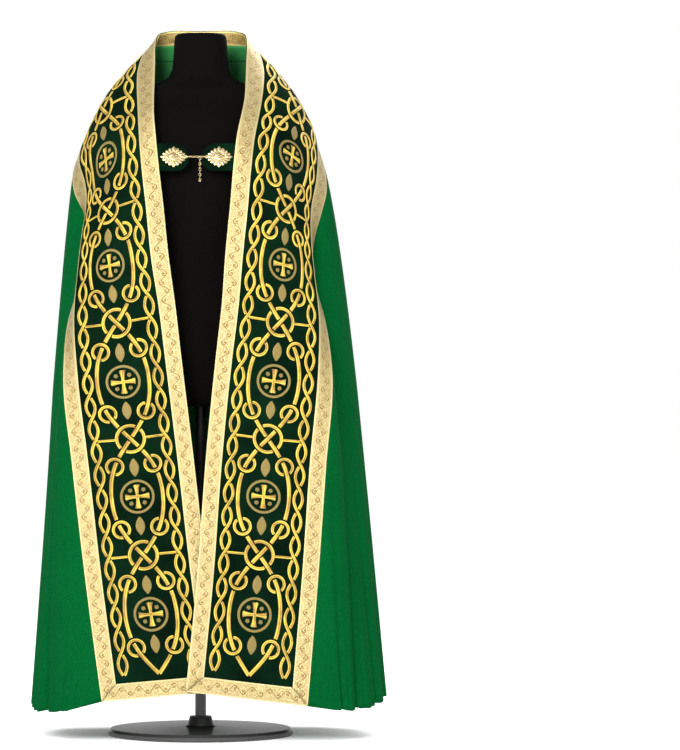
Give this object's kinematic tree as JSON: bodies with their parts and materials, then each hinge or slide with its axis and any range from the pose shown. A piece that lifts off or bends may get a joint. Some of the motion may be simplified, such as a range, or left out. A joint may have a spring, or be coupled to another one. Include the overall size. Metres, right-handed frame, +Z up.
{
  "type": "cope vestment on a dress form",
  "caption": "Long open cloak with broad edged bands down the front, a shield-shaped fringed hood behind and a hooked clasp, draped over a limbless form on a pole and round foot.",
  "frame": {"origin": "centre of the stand's round foot, on its underside", "axes": "+Z up; the garment's open front faces -Y; +X is to the right of someone who looks at the front"},
  "size_m": [0.7912, 0.5681, 1.5737],
  "materials": {
    "green_gabardine": "matt, fine twill",
    "green_velvet": "short pile",
    "gold_galloon": "woven metallic thread",
    "gold_fringe": "twisted metallic thread",
    "gilt_metal": "gilt, polished",
    "black_jersey": "matt jersey",
    "black_steel": "semi-gloss",
    "black_wood": "black stain, satin"
  },
  "bodies": {
    "root": {"cope_body": "green_gabardine", "orphrey_left": "green_velvet", "orphrey_right": "green_velvet", "inner_galloon_left": "gold_galloon", "inner_galloon_right": "gold_galloon", "outer_galloon_left": "gold_galloon", "outer_galloon_right": "gold_galloon", "hem_galloon_left": "gold_galloon", "hem_galloon_right": "gold_galloon", "back_galloon": "gold_galloon", "collar_facing": "gold_galloon", "neck_lining": "green_gabardine", "hood": "green_velvet", "hood_galloon": "gold_galloon", "hood_fringe": "gold_fringe", "clasp_tab_left": "green_velvet", "clasp_tab_right": "green_velvet", "rosette_left": "gilt_metal", "rosette_right": "gilt_metal", "clasp_hook": "gilt_metal", "clasp_chain": "gilt_metal", "dress_form": "black_jersey", "stand_pole": "black_steel", "stand_base": "black_wood"}
  },
  "joints": []
}
